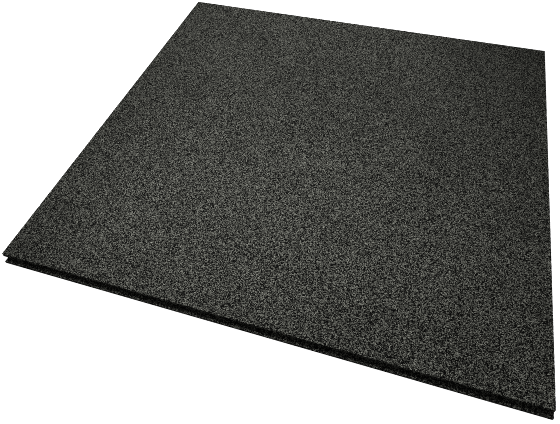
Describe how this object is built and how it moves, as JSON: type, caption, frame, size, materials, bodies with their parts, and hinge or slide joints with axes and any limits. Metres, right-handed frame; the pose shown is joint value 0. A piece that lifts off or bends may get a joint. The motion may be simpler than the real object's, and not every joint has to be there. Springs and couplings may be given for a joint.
{
  "type": "rubber floor tile",
  "caption": "Square black rubber-crumb floor tile, with a thin lip along the front that slides under the overhang of the next tile, an overhang on the left and two plain edges.",
  "frame": {"origin": "centre of the whole footprint, lip included, on the underside", "axes": "+Z out of the wearing face, -X to the overhang, -Y to the lip"},
  "size_m": [1, 1.01, 0.012],
  "materials": {
    "crumb_rubber": "matt pressed rubber crumb, open grained, dark neutral grey to black"
  },
  "bodies": {
    "root": {"tile": "crumb_rubber"}
  },
  "joints": []
}
